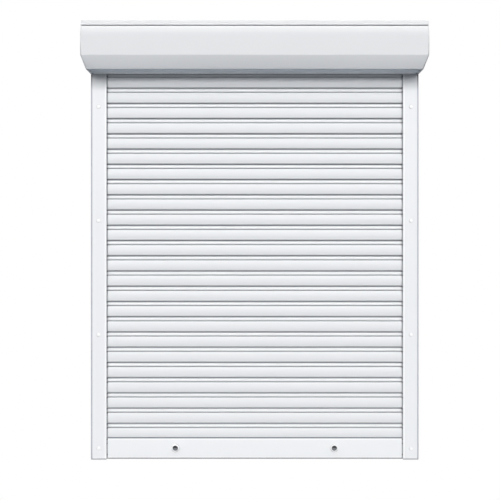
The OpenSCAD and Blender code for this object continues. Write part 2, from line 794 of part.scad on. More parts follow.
// Broad-headed screw at the bottom of each buffer's counterbore
module stop_screws() {
    head_h = 2.2;
    dome_r = 22;
    socket_r = 2.3;
    shank = 8;
    color("dimgray") for (x = [-stop_x, stop_x])
        translate([x, bar_front - stop_floor, sill_z + stop_h]) rotate([90, 0, 0]) {
            difference() {
                intersection() {
                    cylinder(h = head_h, r = stop_hole_r - play);
                    translate([0, 0, head_h - dome_r]) sphere(r = dome_r);
                }
                translate([0, 0, head_h / 4]) cylinder(h = head_h, r = socket_r, $fn = 6);
            }
            translate([0, 0, -shank]) cylinder(h = shank, r = stop_screw_r);
        }
}

rail();  // rail_left
mirror([1, 0, 0]) rail();  // rail_right
rail_seals();  // rail_seals_left
mirror([1, 0, 0]) rail_seals();  // rail_seals_right
rail_screw_caps();
rail_foot_caps();
rail_inlets();
mirror([1, 0, 0]) end_cap();  // end_cap_left
end_cap();  // end_cap_right
box_back_panel();
box_top_panel();
box_front_panel();
box_inspection_panel();
inspection_screws();
panel_rivets();
cable_bushing();
motor_bracket();
tubular_motor();
bearing_holder();
bearing_outer_ring();
bracket_screws();
roller_tube();
limit_crown();
drive_wheel();
motor_shaft();
idler_capsule();
idler_pin();
bearing_inner_ring();
bearing_balls();
hanger_straps();
for (i = [1 : slat_count]) slat(i);
slat_end_clips();
bottom_bar();
bottom_seal();
bottom_bar_end_caps();
end_stops();
stop_screws();
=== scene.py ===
import json
import bmesh
import bpy
import numpy as np
from mathutils.geometry import tessellate_polygon
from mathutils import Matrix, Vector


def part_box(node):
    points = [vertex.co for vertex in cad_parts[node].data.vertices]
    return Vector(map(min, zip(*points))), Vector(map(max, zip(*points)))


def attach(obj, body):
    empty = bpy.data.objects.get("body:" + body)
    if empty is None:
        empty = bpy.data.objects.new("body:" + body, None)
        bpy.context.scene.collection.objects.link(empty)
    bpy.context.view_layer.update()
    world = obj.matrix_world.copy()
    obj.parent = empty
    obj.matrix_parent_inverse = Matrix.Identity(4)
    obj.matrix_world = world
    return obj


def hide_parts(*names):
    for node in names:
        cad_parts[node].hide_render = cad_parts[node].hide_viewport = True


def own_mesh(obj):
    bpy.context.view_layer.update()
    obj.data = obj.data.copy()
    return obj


# Exterior roller shutter, closed. Sizes are in millimetres and become metres where a mesh is made. The wall
# is the plane y = 0, the front faces -Y, and z = 0 is the middle of the rails' outer wall fixings.
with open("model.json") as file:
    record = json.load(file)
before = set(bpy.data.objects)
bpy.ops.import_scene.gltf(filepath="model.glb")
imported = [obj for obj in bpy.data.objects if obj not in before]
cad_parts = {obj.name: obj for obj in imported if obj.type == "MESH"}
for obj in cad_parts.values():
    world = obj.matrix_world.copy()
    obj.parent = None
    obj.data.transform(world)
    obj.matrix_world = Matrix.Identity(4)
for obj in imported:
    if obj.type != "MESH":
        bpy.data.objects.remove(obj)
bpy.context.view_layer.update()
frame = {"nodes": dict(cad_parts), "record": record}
shutter = frame["nodes"]

# Guide rails: extruded aluminium, sawn to length, drilled for the wall screws and then powder coated white.
# The lip along each channel has a painted highlight and each rail's top painted shadow under the box; the
# coat elsewhere is satin, with a faint peel.
MM = 0.001

# A colour Mix node's sockets are known by number, because it uses each name for plain values as well.
SHARE, UNDER, OVER, MIXED = 0, 6, 7, 2


def linear(hex_colour):
    """sRGB hex to the linear colour that a socket takes: c / 12.92 up to 0.04045, else
    ((c + 0.055) / 1.055) to the power of 2.4."""
    srgb = np.array([int(hex_colour[place:place + 2], 16) for place in (1, 3, 5)]) / 255
    return (*np.where(srgb <= 0.04045, srgb / 12.92, ((srgb + 0.055) / 1.055) ** 2.4), 1.0)


def add(tree, kind, inputs, out=0, **settings):
    """Adds a shader node: settings go on the node, and inputs on its sockets as a value or another socket.
    Returns the output socket with the name or number out, or None where the node has no outputs."""
    made = tree.nodes.new("ShaderNode" + kind)
    for key, value in settings.items():
        setattr(made, key, value)
    for key, value in inputs.items():
        if isinstance(value, bpy.types.NodeSocket):
            tree.links.new(value, made.inputs[key])
        else:
            made.inputs[key].default_value = value
    return made.outputs[out] if len(made.outputs) else None


def new_material(name):
    """A node material that is still empty; returns it, its tree and the Object coordinate."""
    made = bpy.data.materials.new(name)
    made.use_nodes = True
    made.node_tree.nodes.clear()
    return made, made.node_tree, add(made.node_tree, "TexCoord", {}, "Object")


def white_finish(name, pale, deep, satin, lip_highlight=None, under_box_shade=None):
    """Stoved white coat: two close tones in clouds 160 mm across and an orange peel. The piece's film
    attribute paints it grey above 0, as painted shade, and a brighter white below 0, as painted highlight.
    Given distances from the middle, along X, mark a band where a painted highlight on the lip fades out.
    Given heights mark a band where painted shadow under the box comes in, in place of the film attribute.
    The peel's cells are about 2 mm, and are drawn at 6 mm so that they show."""
    made, tree, here = new_material(name)
    highlight_white, shade_grey = linear("#FDFDFE"), linear("#6B6F77")
    cloud = add(tree, "TexNoise", {"Vector": here, "Scale": 1 / (160 * MM), "Detail": 3.0})
    tone = add(tree, "Mix", {SHARE: cloud, UNDER: linear(pale), OVER: linear(deep)}, MIXED, data_type="RGBA")
    if lip_highlight:
        across = add(tree, "SeparateXYZ", {0: here}, "X")
        away = add(tree, "Math", {0: across}, operation="ABSOLUTE")
        lip = add(tree, "MapRange", {"Value": away, "From Min": lip_highlight[1] * MM, "From Max": lip_highlight[0] * MM})
        tone = add(tree, "Mix", {SHARE: lip, UNDER: tone, OVER: highlight_white}, MIXED, data_type="RGBA")
    if under_box_shade:
        height = add(tree, "SeparateXYZ", {0: here}, "Z")
        film = add(tree, "MapRange", {
            "Value": height, "From Min": under_box_shade[0] * MM, "From Max": under_box_shade[1] * MM, "To Max": 0.36})
    else:
        film = add(tree, "Attribute", {}, "Fac", attribute_name="film")
    brighten_share = add(tree, "Math", {0: film, 1: -1.0}, operation="MULTIPLY")
    tone = add(tree, "Mix", {SHARE: brighten_share, UNDER: tone, OVER: highlight_white}, MIXED, data_type="RGBA")
    tone = add(tree, "Mix", {SHARE: film, UNDER: tone, OVER: shade_grey}, MIXED, data_type="RGBA")
    cells = add(tree, "TexNoise", {"Vector": here, "Scale": 1 / (6 * MM), "Detail": 2.0})
    peel = add(tree, "Bump", {"Height": cells, "Strength": 0.05, "Distance": 0.3 * MM})
    clean = add(tree, "MapRange", {"Value": cells, "To Min": satin - 0.04, "To Max": satin + 0.04})
    rough = add(tree, "Math", {0: film, 1: 0.3, 2: clean}, operation="MULTIPLY_ADD")
    surface = add(tree, "BsdfPrincipled", {
        "Base Color": tone, "Roughness": rough, "Normal": peel, "Specular IOR Level": 0.3})
    add(tree, "OutputMaterial", {"Surface": surface})
    return made


def shaded(mesh, sharp=32):
    """Faces of a mesh shade as one where they meet at less than sharp degrees."""
    mesh.shade_smooth()
    mesh.set_sharp_from_angle(angle=np.radians(sharp))


def finished(mesh, name, sharp=32):
    """Object at the origin, shaded, with the normals weighted by area so that wide flats stay flat next to a
    bend."""
    mesh.name = name
    shaded(mesh, sharp)
    piece = bpy.data.objects.new(name, mesh)
    bpy.context.scene.collection.objects.link(piece)
    piece.modifiers.new("flat_faces", "WEIGHTED_NORMAL").keep_sharp = True
    return piece


def merged(mesh, gap):
    """The mesh, with points that are closer than gap millimetres made one."""
    work = bmesh.new()
    work.from_mesh(mesh)
    bmesh.ops.remove_doubles(work, verts=work.verts, dist=gap * MM)
    work.to_mesh(mesh)
    work.free()
    return mesh


def joined_copy(node, name):
    """A piece from a solid's mesh, whose loose triangles are merged along their edges."""
    return finished(merged(shutter[node].data.copy(), 0.002), name)


def coat(material, *pieces):
    """Puts one material on the whole of each piece."""
    for piece in pieces:
        piece.data.materials.clear()
        piece.data.materials.append(material)


def fit(piece, material, body, slot, *nodes):
    """Coats a new piece, sets it on its body and hides the solids that it stands for. The slot is not used.
    """
    coat(material, piece)
    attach(piece, body)
    if nodes:
        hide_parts(*nodes)


def extent(node):
    """A solid's lowest and highest corner at rest, in millimetres to the hundredth."""
    return np.round(np.array(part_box(node)) / MM, 2)


(RAIL_INNER, RAIL_FRONT, _), (RAIL_OUTER, _, BOX) = extent("rail_right")
SILL = extent("rail_foot_caps")[0, 2]
# Painted highlight along the channel lips, painted shadow under the box on the rails' tops.
powder_coat = white_finish("white_powder_coat", "#EBECEE", "#EDEEF0", 0.38,
                           lip_highlight=(RAIL_INNER + 4.6, RAIL_INNER + 5.2), under_box_shade=(BOX - 57, BOX - 26))
for side in ("left", "right"):
    rail = joined_copy(f"rail_{side}", f"rail_{side}_extrusion")
    fit(rail, powder_coat, "housing", "white_aluminium", f"rail_{side}")

# Edge strips: a thin, matt grey strip along the outer front corner of each rail, put there as painted shade
# for the rounded edge's own shade. Its top is painted darker still, as painted shadow under the box.


def moulded(name, deep, pale, rough, shadow_heights=None):
    """Moulded or extruded plastic: two close tones that follow the flow of the melt, about 15 mm across, a
    roughness that wanders with them, and a grain of 1.2 mm. Given heights mark a band where the plastic is
    painted dark, as painted shadow; without them the piece's film attribute is the share of painted shade,
    and a piece that has none gets none."""
    made, tree, here = new_material(name)
    flow = add(tree, "TexNoise", {"Vector": here, "Scale": 1 / (15 * MM), "Detail": 2.0})
    tone = add(tree, "Mix", {SHARE: flow, UNDER: linear(deep), OVER: linear(pale)}, MIXED, data_type="RGBA")
    if shadow_heights:
        height = add(tree, "SeparateXYZ", {0: here}, "Z")
        shade_share = add(tree, "MapRange", {
            "Value": height, "From Min": shadow_heights[0] * MM, "From Max": shadow_heights[1] * MM, "To Max": 0.95})
    else:
        shade_share = add(tree, "Attribute", {}, "Fac", attribute_name="film")
    tone = add(tree, "Mix", {SHARE: shade_share, UNDER: tone, OVER: linear("#232427")}, MIXED, data_type="RGBA")
    sheen = add(tree, "MapRange", {"Value": flow, "To Min": rough - 0.05, "To Max": rough + 0.05})
    spark = add(tree, "TexNoise", {"Vector": here, "Scale": 1 / (1.2 * MM), "Detail": 1.0})
    grain = add(tree, "Bump", {"Height": spark, "Strength": 0.06, "Distance": 0.1 * MM})
    surface = add(tree, "BsdfPrincipled", {"Base Color": tone, "Roughness": sheen, "Normal": grain})
    add(tree, "OutputMaterial", {"Surface": surface})
    return made


def arc(centre, radius, start, end, steps):
    """Points at equal angles on a circle, from start to end in degrees: centre + radius * (cos, sin)."""
    turn = np.radians(np.linspace(start, end, steps + 1))[:, None]
    return np.array(centre) + radius * np.hstack([np.cos(turn), np.sin(turn)])


def prism(name, outlines, start, end, axis=0):
    """Section carried straight along an axis, X = 0 or Z = 2: closed outlines in the two following axes, the
    first one round the others, each become a band of quads, and the area between them closes both ends. An
    outline is reversed where the sign of its area, half the sum of x * next y - y * next x, asks for it."""
    twice = [np.sum(line[:, 0] * np.roll(line[:, 1], -1) - line[:, 1] * np.roll(line[:, 0], -1))
             for line in outlines]
    outlines = [line if (area > 0) == (place == 0) else line[::-1]
                for place, (line, area) in enumerate(zip(outlines, twice))]
    ring = np.concatenate(outlines)
    count = len(ring)
    starts = np.cumsum([0] + [len(line) for line in outlines])
    here = np.arange(count)
    after = np.concatenate([np.roll(here[low:high], -1) for low, high in zip(starts, starts[1:])])
    points = np.concatenate([np.column_stack([np.full(count, place), ring]) for place in (start, end)])
    flat = [np.column_stack([line, np.zeros(len(line))]).tolist() for line in outlines]
    cap = np.array(tessellate_polygon(flat))
    one, two = ring[cap[:, 1]] - ring[cap[:, 0]], ring[cap[:, 2]] - ring[cap[:, 0]]
    cap = np.where(one[:, :1] * two[:, 1:] < one[:, 1:] * two[:, :1], cap[:, ::-1], cap)
    bands = np.column_stack([here, after, after + count, here + count])
    mesh = bpy.data.meshes.new(name)
    mesh.from_pydata((np.roll(points, axis, axis=1) * MM).tolist(), [],
                     bands.tolist() + (cap + count).tolist() + cap[:, ::-1].tolist())
    return finished(mesh, name)


# Painted shade: a grey strip for the rounded edge's shade, with painted shadow under the box at its top.
edge_shade_grey = moulded("edge_shade_grey", "#B5B5BF", "#BFBFC9", 0.5, shadow_heights=(BOX - 52, BOX))
EDGE_R, TRIM_T, TRIM_SUNK, TRIM_LAP, TRIM_WRAP = 3.6, 0.25, 0.1, 1.6, 96
TRIM_FOOT, TRIM_HEAD = SILL + 3.5, BOX - 1
bend = np.array([RAIL_OUTER - EDGE_R, RAIL_FRONT + EDGE_R])
lap = [[bend[0] - TRIM_LAP, RAIL_FRONT + TRIM_SUNK], [bend[0] - TRIM_LAP, RAIL_FRONT - TRIM_T]]
outside = arc(bend, EDGE_R + TRIM_T, 270, 270 + TRIM_WRAP, 12)
inside = arc(bend, EDGE_R - TRIM_SUNK, 270 + TRIM_WRAP, 270, 12)
trim = np.concatenate([lap, outside, inside])
for side, sign in (("left", -1), ("right", 1)):
    strip = prism(f"rail_edge_shade_strip_{side}", [trim * [sign, 1]], TRIM_FOOT, TRIM_HEAD, axis=2)
    fit(strip, edge_shade_grey, "housing", "grey_plastic")

# Rail wipers: extruded rubber lips pressed into grooves along both sides of each rail's channel, so that
# the slats run quietly. The rubber is a matt mid grey with a pale bloom, and has painted shade where the
# slats' joint lines meet it.
FIRST_SLAT = extent("slat_01")[0, 2]
SLAT_PITCH = extent("slat_02")[0, 2] - FIRST_SLAT
GROOVE_LINE_Z, HOOK_LINE_Z = 36.9, 50.6


def extruded_rubber(name, deep, bloom, joint_lines=()):
    """Matt rubber: a dark tone and a pale bloom in patches 12 mm across, which also roughen the skin. The
    given heights above a slat's foot repeat at the slat pitch: the rubber is painted dark within 1 mm of
    each, as painted shade of the joint lines, and plain from 3 mm."""
    made, tree, here = new_material(name)
    patch = add(tree, "TexNoise", {"Vector": here, "Scale": 1 / (12 * MM), "Detail": 4.0})
    tone = add(tree, "Mix", {SHARE: patch, UNDER: linear(deep), OVER: linear(bloom)}, MIXED, data_type="RGBA")
    for mark in joint_lines:
        height = add(tree, "SeparateXYZ", {0: here}, "Z")
        above = add(tree, "Math", {0: height, 1: -(FIRST_SLAT + mark) * MM}, operation="ADD")
        away = add(tree, "Math", {0: above, 1: SLAT_PITCH * MM / 2}, operation="PINGPONG")
        joint_shade = add(tree, "MapRange", {"Value": away, "From Min": 3 * MM, "From Max": 1 * MM})
        tone = add(tree, "Mix", {SHARE: joint_shade, UNDER: tone, OVER: linear("#3E4044")}, MIXED, data_type="RGBA")
    grit = add(tree, "Bump", {"Height": patch, "Strength": 0.2, "Distance": 0.3 * MM})
    surface = add(tree, "BsdfPrincipled", {"Base Color": tone, "Roughness": 0.7, "Normal": grit})
    add(tree, "OutputMaterial", {"Surface": surface})
    return made


# Painted shade on the wipers at the heights of the slats' joint lines.
grey_rubber = extruded_rubber("grey_rubber", "#939599", "#A9ABAF", joint_lines=(GROOVE_LINE_Z, HOOK_LINE_Z))
coat(grey_rubber, shutter["rail_seals_left"], shutter["rail_seals_right"])

# Rail feet and inlets: moulded polyamide, the feet pushed into the rails' lower ends and the funnels hooked
# into their upper ends. The feet are the darker grey of recycled stock.
coat(moulded("mid_grey_polyamide", "#787A7F", "#828489", 0.5), shutter["rail_foot_caps"])
light_grey = moulded("light_grey_polyamide", "#C4C6C8", "#CDCFD1", 0.43)
coat(light_grey, shutter["rail_inlets"])

# Screw plugs: buttons of slightly glossy white polyamide, pushed into the eight access holes of the rails.
# Each has a low dome, a rolled rim that stands on the rail's face, and a thin skirt that grips the hole.


def turned(name, profile, centres, out, steps=48, six=()):
    """Closed profile of (radius, height) points turned round an axis: a point is centre + radius * (cos t * u
    + sin t * v) + height * out, with u, v and out square to each other. Points at radius 0 become one pole,
    and a row in six becomes a hexagon: its radius is divided by the cosine of the angle from its flat."""
    radius, height = np.array(profile, float).T
    out = np.array(out, float)
    u = np.roll(out, 1)
    t = np.linspace(0, 2 * np.pi, steps, endpoint=False)[:, None]
    spoke = np.cos(t) * u + np.sin(t) * np.cross(out, u)
    reach = np.tile(radius[:, None, None], (1, steps, 1))
    reach[list(six)] /= np.cos((t + np.pi / 6) % (np.pi / 3) - np.pi / 6)
    body = (reach * spoke + height[:, None, None] * out).reshape(-1, 3)
    points = (np.array(centres, float)[:, None] + body).reshape(-1, 3)
    row, step = np.meshgrid(np.arange(len(radius) - 1), np.arange(steps), indexing="ij")
    here, beside = row * steps + step, row * steps + (step + 1) % steps
    quads = np.stack([here, beside, beside + steps, here + steps], -1)
    quads = quads.reshape(1, -1, 4) + len(body) * np.arange(len(centres))[:, None, None]
    mesh = bpy.data.meshes.new(name)
    mesh.from_pydata((points * MM).tolist(), [], quads.reshape(-1, 4).tolist())
    return finished(merged(mesh, 0.001), name, sharp=40)


def from_centre(piece, centres):
    """Each point's place less that of the centre nearest to it: across, in depth and up, in millimetres."""
    place = np.empty(3 * len(piece.data.vertices))
    piece.data.vertices.foreach_get("co", place)
    offset = place.reshape(-1, 1, 3) / MM - centres
    nearest = np.argmin(np.linalg.norm(offset, axis=2), axis=1)
    return offset[np.arange(len(offset)), nearest].T


def filmed(piece, film):
    """Stores the film of every point of a piece as an attribute that its material reads."""
    piece.data.attributes.new("film", "FLOAT", "POINT").data.foreach_set("value", film)


PLUG_R, PLUG_H, DOME_R, RIM_R, RIM_ROLL, RIM_LIFT = 7.5, 1.6, 20.0, 6.9, 0.6, 0.35
SKIRT_OUTER, SKIRT_INNER, SKIRT_L, PLUG_ROOF = 6.4, 5.2, 4.0, 0.6
white_polyamide = moulded("white_polyamide", "#FAFBFC", "#FDFDFE", 0.28)
skirt = [[0, -PLUG_ROOF], [SKIRT_INNER, -PLUG_ROOF], [SKIRT_INNER, -SKIRT_L], [SKIRT_OUTER, -SKIRT_L],
         [SKIRT_OUTER, 0], [PLUG_R, 0]]
rim = arc([RIM_R, RIM_LIFT], RIM_ROLL, -20, 60, 6)
dome = arc([0, PLUG_H - DOME_R], DOME_R, 90 - np.degrees(np.arcsin(RIM_R / DOME_R)), 90, 14)
plug = np.concatenate([skirt, rim, dome])
fixings = [mount["dims"] for mount in frame["record"]["mounts"] if mount["kind"] == "bolt_pattern"]
spots = sorted((sign * holes["spacing_x_mm"] / 2, RAIL_FRONT, up * holes["spacing_y_mm"] / 2)
               for holes in fixings for sign in (-1, 1) for up in (-1, 1))
plugs = turned("rail_plugs", plug, spots, (0, -1, 0))
fit(plugs, white_polyamide, "housing", "white_plastic", "rail_screw_caps")

# Each plug's rim is painted darker, as painted shade, more on its left and a little more below.
UNSHADED_R, SHADED_R, RIM_SHADE, LEFT_SHADE, LOW_SHADE = 4.6, 5.8, 0.2, 0.06, 0.02
across, _, up = from_centre(plugs, spots)
away = np.maximum(np.hypot(across, up), 1)
ring = np.interp(away, [UNSHADED_R, SHADED_R], [0, 1])
filmed(plugs, ring * (RIM_SHADE - (LEFT_SHADE * across + LOW_SHADE * up) / away))

# Box ends: cast aluminium plates with a rim under the sheets, bosses for the roller brackets and a tongue
# down into each rail. The outer edge of the casting is eased before it is lacquered.
CASTING_EASE, FACE_SLACK = 0.6, 0.1
outer_plane = (RAIL_OUTER - FACE_SLACK) * MM
lacquer = white_finish("white_lacquered_sheet", "#D9DADC", "#DBDCDE", 0.39)
for side, sign in (("left", -1), ("right", 1)):
    plate = joined_copy(f"end_cap_{side}", f"end_cap_{side}_casting")
    work = bmesh.new()
    work.from_mesh(plate.data)
    outward = [face for face in work.faces if face.normal.x * sign > 0.99]
    bmesh.ops.dissolve_faces(work, faces=[
        face for face in outward if face.calc_center_median().x * sign > outer_plane])
    edges = [edge for edge in work.edges if all(end.co.x * sign > outer_plane for end in edge.verts)]
    bmesh.ops.bevel(work, geom=edges, offset=CASTING_EASE * MM, segments=3, profile=0.5, affect="EDGES",
                    clamp_overlap=True)
    work.to_mesh(plate.data)
    work.free()
    shaded(plate.data)
    fit(plate, lacquer, "housing", "white_aluminium", f"end_cap_{side}")

# Box sheets: rolled aluminium with a baked white lacquer. The top sheet ends in a rounded nose and a hem, and
# the front sheet hooks behind it along the seam; bends have the small radius of a folding machine.


def rounded(points, radii, steps=8):
    """Open path whose inner corners are rounded: an arc of radius r touches both legs at r / tan(half the
    corner's angle) from the corner, and its points blend between the two directions from its centre."""
    points = np.array(points, float)
    corner = points[1:-1]
    legs = (points[:-2] - corner, points[2:] - corner)
    back, on = (leg / np.linalg.norm(leg, axis=1, keepdims=True) for leg in legs)
    half = np.arccos(np.sum(back * on, axis=1, keepdims=True)) / 2
    radius = np.array(radii, float)[:, None]
    middle = (back + on) / np.linalg.norm(back + on, axis=1, keepdims=True)
    centre = corner + middle * radius / np.sin(half)
    first, last = (corner + leg * radius / np.tan(half) - centre for leg in (back, on))
    part, turn = np.linspace(0, 1, steps + 1)[None, :, None], (np.pi - 2 * half)[:, None]
    spoke = (np.sin((1 - part) * turn) * first[:, None] + np.sin(part * turn) * last[:, None]) / np.sin(turn)
    path = np.concatenate([points[:1], (centre[:, None] + spoke).reshape(-1, 2), points[-1:]])
    return path[np.r_[True, np.linalg.norm(np.diff(path, axis=0), axis=1) > 1e-6]]


def sheet(path, thickness):
    """Outline of a bent sheet: the path, and back along the path moved to its left on mitred normals, which
    are the sum of the two normals at a point over 1 + their product."""
    way = np.diff(path, axis=0)
    way /= np.linalg.norm(way, axis=1, keepdims=True)
    normal = np.column_stack([-way[:, 1], way[:, 0]])
    before, after = np.concatenate([normal[:1], normal]), np.concatenate([normal, normal[-1:]])
    mitre = (before + after) / (1 + np.sum(before * after, axis=1, keepdims=True))
    return np.concatenate([path, (path + thickness * mitre)[::-1]])


def paint_light_on_ends(piece, film):
    """Gives each point of a section, at both ends of the piece, its film of painted shade or painted
    highlight; the rest get none.
    """
    share = np.zeros(len(piece.data.vertices))
    share.reshape(2, -1)[:, :len(film)] = film
    filmed(piece, share)


SHEET_T, PANEL_HALF = 1.2, extent("box_top_panel")[1, 0]
BOX_FRONT, BOX_H = extent("end_cap_left")[0, 1], extent("end_cap_left")[1, 2] - BOX
NOSE_FRONT, NOSE_R, NOSE_DROP, HEM_L, HEM_R = extent("box_top_panel")[0, 1], 18.0, 0.4, 8.0, 1.2
SEAM_TOP, SEAM_FOOT, SEAM_HOOK, SEAM_LAP, FOLD_R = BOX_H - 19.8, BOX_H - 22.2, 5.5, 10.0, 2.6
LEAN, LEAN_R, LEAN_FOOT, LEAN_DROP = 9.0, 70.0, BOX_H - 57, 1.0
SLOPE_H, SLOPE_FOOT, SLOPE_R, SLOPE_FLANGE = 27.5, extent("box_front_panel")[1, 1], 2.5, 10.0
UNDER_FRONT, UNDER_BACK = extent("box_inspection_panel")[:, 1]
UNDER_R, FRONT_FLANGE, BACK_FLANGE = 1.8, 11.0, 14.0
hem = rounded([
    [NOSE_FRONT, BOX_H - NOSE_R - NOSE_DROP], [NOSE_FRONT, SEAM_TOP], [NOSE_FRONT + HEM_L, SEAM_TOP]],
    [HEM_R])
nose = np.concatenate([
    [[0, BOX_H]], arc([NOSE_FRONT + NOSE_R, BOX_H - NOSE_R], NOSE_R, 90, 180, 24), hem])
seam_hook = [[NOSE_FRONT + SEAM_LAP, SEAM_FOOT + SEAM_HOOK], [NOSE_FRONT + SEAM_LAP, SEAM_FOOT]]
fold = arc([NOSE_FRONT + FOLD_R, SEAM_FOOT - FOLD_R], FOLD_R, 90, 180 - LEAN, 8)
lean = arc([BOX_FRONT + LEAN_R, LEAN_FOOT], LEAN_R, 180 - LEAN, 180, 10)
straight = np.linspace(fold[-1], lean[0], 7)[1:-1]
apron = rounded([
    [BOX_FRONT, LEAN_FOOT - LEAN_DROP], [BOX_FRONT, SLOPE_H], [SLOPE_FOOT, 0], [SLOPE_FOOT, SLOPE_FLANGE]],
    [SLOPE_R, SLOPE_R])
front = np.concatenate([seam_hook, fold, straight, lean, apron])
underside = rounded([
    [UNDER_FRONT, FRONT_FLANGE], [UNDER_FRONT, 0], [UNDER_BACK, 0], [UNDER_BACK, BACK_FLANGE]],
    [UNDER_R, UNDER_R])

# Painted highlights on the nose and a strip under the seam; painted shade on the seam's edge, towards the
# slope's back and at the underside's front, and the underside painted lighter towards its back.
nose_light = np.interp(nose[:, 1] - SEAM_TOP, [0, 1.5, 3.5], [0.15, 0, -0.2])
seam_highlight = np.interp(SEAM_FOOT - front[:, 1], [-1, 0, 1.5, 4, 12, 24], [0, 0.6, 0.8, 0.4, 0.28, 0])
slope_shade = np.interp(front[:, 0], [BOX_FRONT, SLOPE_FOOT], [0, 0.27]) * (front[:, 1] < SLOPE_H)
underside_light = np.interp(underside[:, 0], [SLOPE_FOOT, UNDER_BACK], [0.2, -0.5])
# A darker, bluer copy of the lacquer for the underside, as painted cool shade.
underside_shade_lacquer = white_finish("white_lacquer_cool_shade", "#D2D9E0", "#D4DBE2", 0.39)
for name, path, film, finish in (
        ("box_top_panel", nose, nose_light, lacquer),
        ("box_front_panel", front, slope_shade - seam_highlight, lacquer),
        ("box_inspection_panel", underside, underside_light, underside_shade_lacquer)):
    panel = prism(name + "_sheet", [sheet(path, SHEET_T) + [0, BOX]], -PANEL_HALF, PANEL_HALF)
    paint_light_on_ends(panel, np.concatenate([film, film[::-1]]))
    fit(panel, finish, "housing", "white_aluminium", name)
coat(lacquer, shutter["box_back_panel"])

# Sheet fasteners: aluminium blind rivets, lacquered with the box, and zinc plated screws under the removable
# underside. The back rivets are set from inside, so that the wall plane stays flat.


def metal_finish(name, dark, bright, grain, rough, metallic=1.0, pale_below=None):
    """Bare, plated or phosphated metal: two tones and a roughness range that follow one noise. Grain is its
    size in mm along X, Y and Z, so that a turned or drawn piece gets streaks. Given heights mark a band over
    which a pale tone, painted on the low part of the piece as painted light, thins out upwards."""
    made, tree, here = new_material(name)
    sized = add(tree, "Mapping", {"Vector": here, "Scale": [1 / (length * MM) for length in grain]})
    grit = add(tree, "TexNoise", {"Vector": sized, "Scale": 1.0, "Detail": 3.0})
    tone = add(tree, "Mix", {SHARE: grit, UNDER: linear(dark), OVER: linear(bright)}, MIXED, data_type="RGBA")
    if pale_below:
        height = add(tree, "SeparateXYZ", {0: here}, "Z")
        pale_share = add(tree, "MapRange", {"Value": height, "From Min": pale_below[1] * MM, "From Max": pale_below[0] * MM})
        tone = add(tree, "Mix", {SHARE: pale_share, UNDER: tone, OVER: linear("#75777B")}, MIXED, data_type="RGBA")
    gloss = add(tree, "MapRange", {"Value": grit, "To Min": rough[0], "To Max": rough[1]})
    surface = add(tree, "BsdfPrincipled", {"Base Color": tone, "Roughness": gloss, "Metallic": metallic})
    add(tree, "OutputMaterial", {"Surface": surface})
    return made


RIVET_X, RIVET_Y, RIVET_Z = RAIL_OUTER - 10, (-40, -95), (35, 105)
RIVET_R, RIVET_L, RIVET_GRIP, BACK_HEAD, HEAD_EASE, HEAD_TAPER = 1.6, 6.0, 3.5, 5.5, 0.3, 1.0
HEAD_R, HEAD_RIM, HEAD_DOME, DOME_SUNK, DIMPLE_R, DIMPLE_H = 3.2, 0.15, 5.0, 3.7, 0.9, 0.7
shank = [[0, -RIVET_L], [RIVET_R, -RIVET_L], [RIVET_R, 0], [HEAD_R, 0], [HEAD_R, HEAD_RIM]]
dimple = [[DIMPLE_R, DIMPLE_H], [0, DIMPLE_H]]
domed = np.concatenate([shank, arc([0, -DOME_SUNK], HEAD_DOME, 52, 78, 8), dimple])
set_inside = [[0, 0], [RIVET_R, 0], [RIVET_R, RIVET_GRIP], [HEAD_R, RIVET_GRIP],
              [HEAD_R - HEAD_EASE, BACK_HEAD - HEAD_EASE], [HEAD_R - HEAD_TAPER, BACK_HEAD], [0, BACK_HEAD]]
tops = [(sign * RIVET_X, depth, BOX + BOX_H) for sign in (-1, 1) for depth in RIVET_Y]
backs = [(sign * RIVET_X, 0, BOX + height) for sign in (-1, 1) for height in RIVET_Z]
fit(turned("top_rivets", domed, tops, (0, 0, 1), 32), lacquer, "housing", "white_aluminium", "panel_rivets")
fit(turned("back_rivets", set_inside, backs, (0, -1, 0), 32), lacquer, "housing", "white_aluminium")
zinc = metal_finish("zinc_plated_steel", "#9EA3A8", "#B9BDC1", (8, 8, 8), (0.3, 0.48))
fit(joined_copy("inspection_screws", "underside_screws"), zinc, "housing", "zinc_steel", "inspection_screws")

# Cable bushing: a snap-in ring of black polyamide in the back sheet, where the motor's lead goes into the
# wall. The same black is used inside the roller.
black_polyamide = moulded("black_polyamide", "#1E1F21", "#2A2B2D", 0.45)
fit(joined_copy("cable_bushing", "cable_ring"), black_polyamide, "housing", "black_plastic", "cable_bushing")

# Roller brackets: pressed steel plates, zinc plated, on the bosses of the end plates. Their socket screws
# are blackened; the idle side carries a ball bearing of polished chrome steel.
coat(zinc, shutter["motor_bracket"], shutter["bearing_holder"])
coat(metal_finish("blackened_steel", "#26272A", "#3A3B3E", (3, 3, 3), (0.35, 0.5)), shutter["bracket_screws"])
chrome_steel = metal_finish("polished_chrome_steel", "#B4B7BA", "#C9CBCD", (12, 3, 3), (0.1, 0.2))
coat(chrome_steel, shutter["bearing_outer_ring"], shutter["bearing_inner_ring"])
fit(joined_copy("bearing_balls", "race_balls"), chrome_steel, "roller", "zinc_steel", "bearing_balls")

